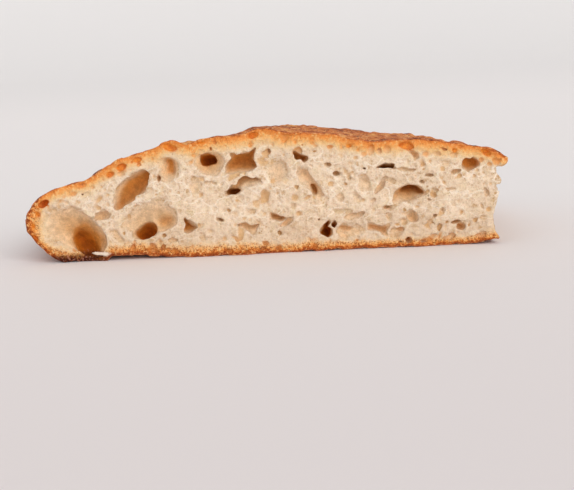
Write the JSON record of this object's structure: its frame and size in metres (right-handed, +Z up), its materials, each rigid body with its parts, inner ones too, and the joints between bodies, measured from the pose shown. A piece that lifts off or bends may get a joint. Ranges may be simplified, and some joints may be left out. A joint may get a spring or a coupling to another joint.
{
  "type": "focaccia",
  "caption": "Corner piece of a thick, airy flatbread, cut straight on two sides, with an open crumb and a dimpled browned top crust.",
  "frame": {"origin": "middle of the piece's outline, at the height of the flat base it rests on", "axes": "+X along the long cut, from the crusted nose to the cut end; +Y from the long cut towards the crusted back; +Z up"},
  "size_m": [0.174, 0.084, 0.0452],
  "materials": {
    "bread": "matte, airy cream crumb on the cuts and a golden to reddish brown crust with a faint oil gloss"
  },
  "bodies": {
    "root": {"focaccia": "bread"}
  },
  "joints": []
}
